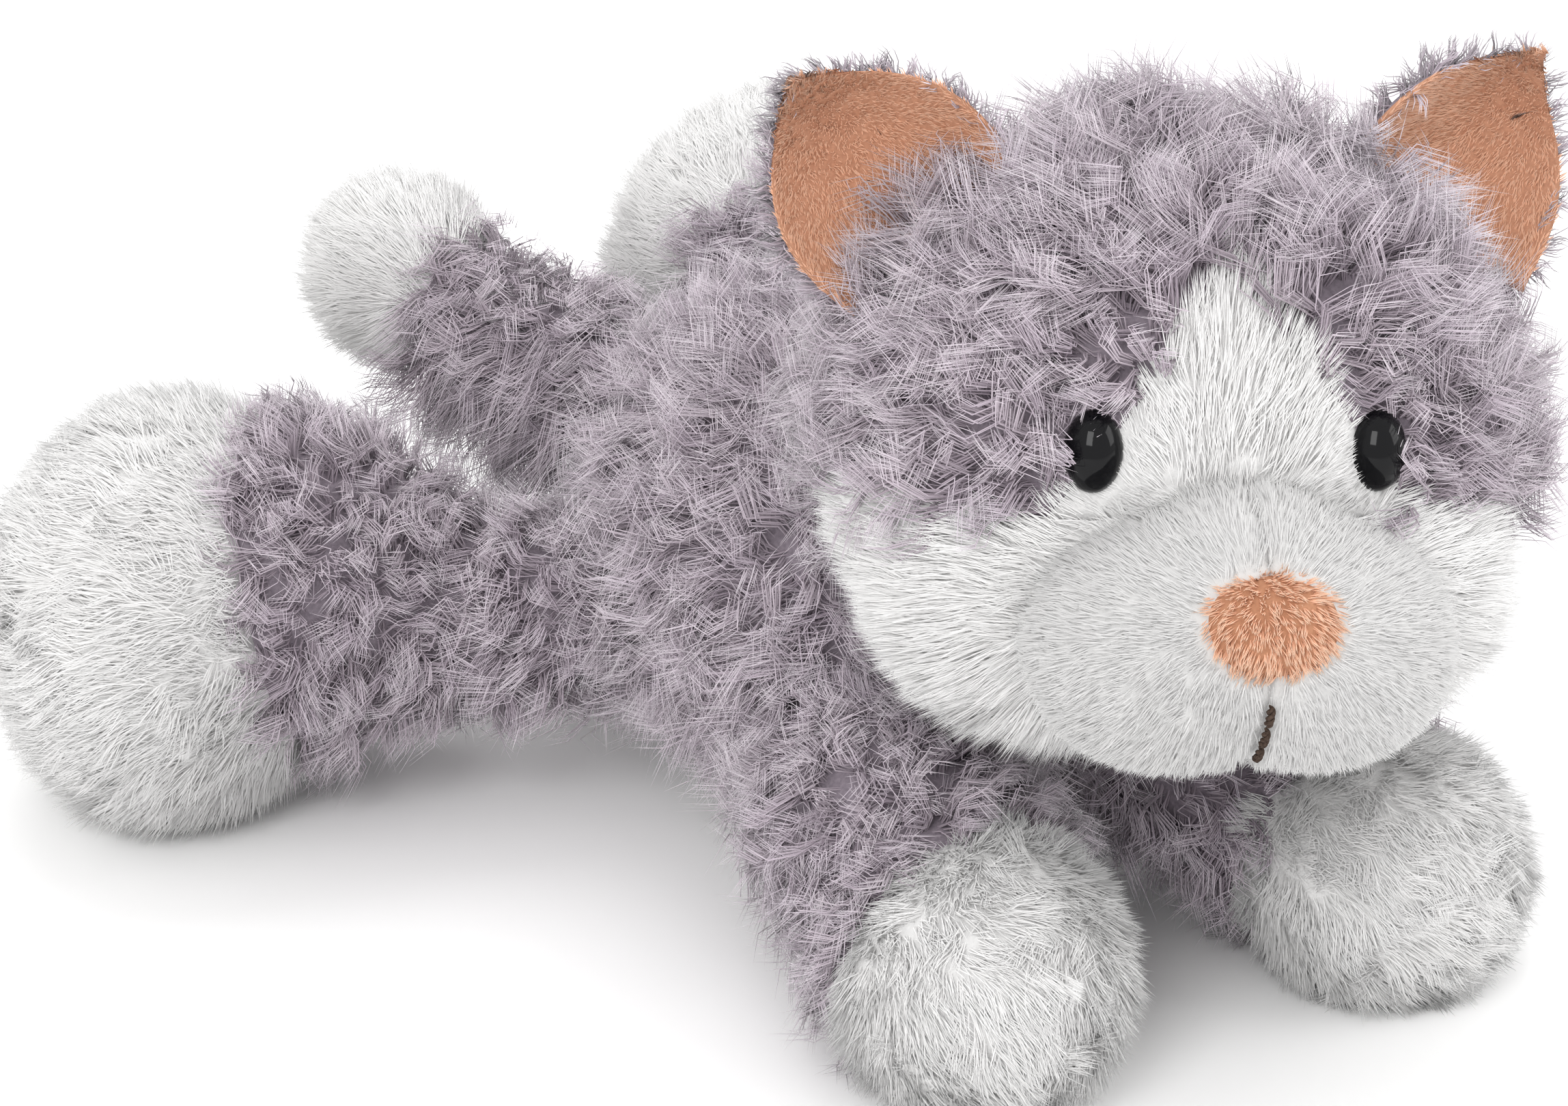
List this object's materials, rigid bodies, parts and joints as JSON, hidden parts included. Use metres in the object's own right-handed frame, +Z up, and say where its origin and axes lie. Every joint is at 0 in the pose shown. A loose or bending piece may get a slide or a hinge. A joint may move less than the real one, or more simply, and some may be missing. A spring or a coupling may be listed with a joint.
{
  "type": "plush cat",
  "caption": "Lying stuffed toy cat with a round head turned to one side, folding ears, swinging soft legs and a wagging tail.",
  "frame": {"origin": "middle of the flat of the belly, on the floor", "axes": "+Z up, -Y the way the cat lies facing, +X the cat's left side"},
  "size_m": [0.2057, 0.2661, 0.1487],
  "materials": {
    "grey_pile": "long soft pile in wavy tufts, paler at the tips",
    "white_pile": "dense white pile",
    "short_white_pile": "short white pile",
    "peach_pile": "short peach pile",
    "filling": "loose polyester fibre",
    "pellet_cloth": "plain woven bag of pellets",
    "thread": "thick embroidery thread",
    "eye_black": "polished",
    "washer_plastic": "moulded"
  },
  "bodies": {
    "torso": {"back_left": "grey_pile", "back_right": "grey_pile", "belly": "white_pile", "body_stuffing": "filling", "pellet_bag": "pellet_cloth"},
    "head": {"head_side_left": "grey_pile", "head_side_right": "grey_pile", "forehead_blaze": "white_pile", "cheek_left": "white_pile", "cheek_right": "white_pile", "head_back": "grey_pile", "head_stuffing": "filling", "muzzle_left": "short_white_pile", "muzzle_right": "short_white_pile", "muzzle_stuffing": "filling", "nose": "peach_pile", "mouth_stitches": "thread", "eye_left": "eye_black", "eye_right": "eye_black", "eye_washer_left": "washer_plastic", "eye_washer_right": "washer_plastic"},
    "ear_left": {"ear_back_left": "grey_pile", "ear_lining_left": "peach_pile"},
    "ear_right": {"ear_back_right": "grey_pile", "ear_lining_right": "peach_pile"},
    "front_leg_left": {"front_sleeve_left": "grey_pile", "front_paw_left": "white_pile", "front_stuffing_left": "filling"},
    "front_leg_right": {"front_sleeve_right": "grey_pile", "front_paw_right": "white_pile", "front_stuffing_right": "filling"},
    "hind_leg_left": {"hind_sleeve_left": "grey_pile", "hind_foot_left": "white_pile", "hind_stuffing_left": "filling"},
    "hind_leg_right": {"hind_sleeve_right": "grey_pile", "hind_foot_right": "white_pile", "hind_stuffing_right": "filling"},
    "tail": {"tail_sleeve": "grey_pile", "tail_tip": "white_pile", "tail_stuffing": "filling"}
  },
  "joints": [
    {"name": "head_nod", "type": "hinge", "parent": "torso", "child": "head", "pos_m": [0.01, -0.074, 0.089], "axis": [0.9113, -0.4057, -0.0698], "range_deg": [-18, 14], "stiffness_Nm_per_rad": 0.5},
    {"name": "ear_left_fold", "type": "hinge", "parent": "head", "child": "ear_left", "pos_m": [0.0508, -0.08071, 0.11626], "axis": [0.7158, -0.4325, -0.5483], "range_deg": [-15, 13], "stiffness_Nm_per_rad": 0.02},
    {"name": "ear_right_fold", "type": "hinge", "parent": "head", "child": "ear_right", "pos_m": [-0.01846, -0.04987, 0.12156], "axis": [0.7576, -0.1792, 0.6276], "range_deg": [-15, 13], "stiffness_Nm_per_rad": 0.02},
    {"name": "front_leg_left_swing", "type": "hinge", "parent": "torso", "child": "front_leg_left", "pos_m": [0.02, -0.032, 0.034], "axis": [0, 0, 1], "range_deg": [-12, 12], "stiffness_Nm_per_rad": 0.05},
    {"name": "front_leg_right_swing", "type": "hinge", "parent": "torso", "child": "front_leg_right", "pos_m": [-0.02, -0.032, 0.034], "axis": [0, 0, 1], "range_deg": [-12, 12], "stiffness_Nm_per_rad": 0.05},
    {"name": "hind_leg_left_swing", "type": "hinge", "parent": "torso", "child": "hind_leg_left", "pos_m": [0.02, 0.016, 0.034], "axis": [0, 0, 1], "range_deg": [-12, 12], "stiffness_Nm_per_rad": 0.08},
    {"name": "hind_leg_right_swing", "type": "hinge", "parent": "torso", "child": "hind_leg_right", "pos_m": [-0.02, 0.016, 0.034], "axis": [0, 0, 1], "range_deg": [-12, 12], "stiffness_Nm_per_rad": 0.08},
    {"name": "tail_wag", "type": "hinge", "parent": "torso", "child": "tail", "pos_m": [0, 0.028, 0.054], "axis": [0, 0, 1], "range_deg": [-15, 15], "stiffness_Nm_per_rad": 0.03}
  ]
}
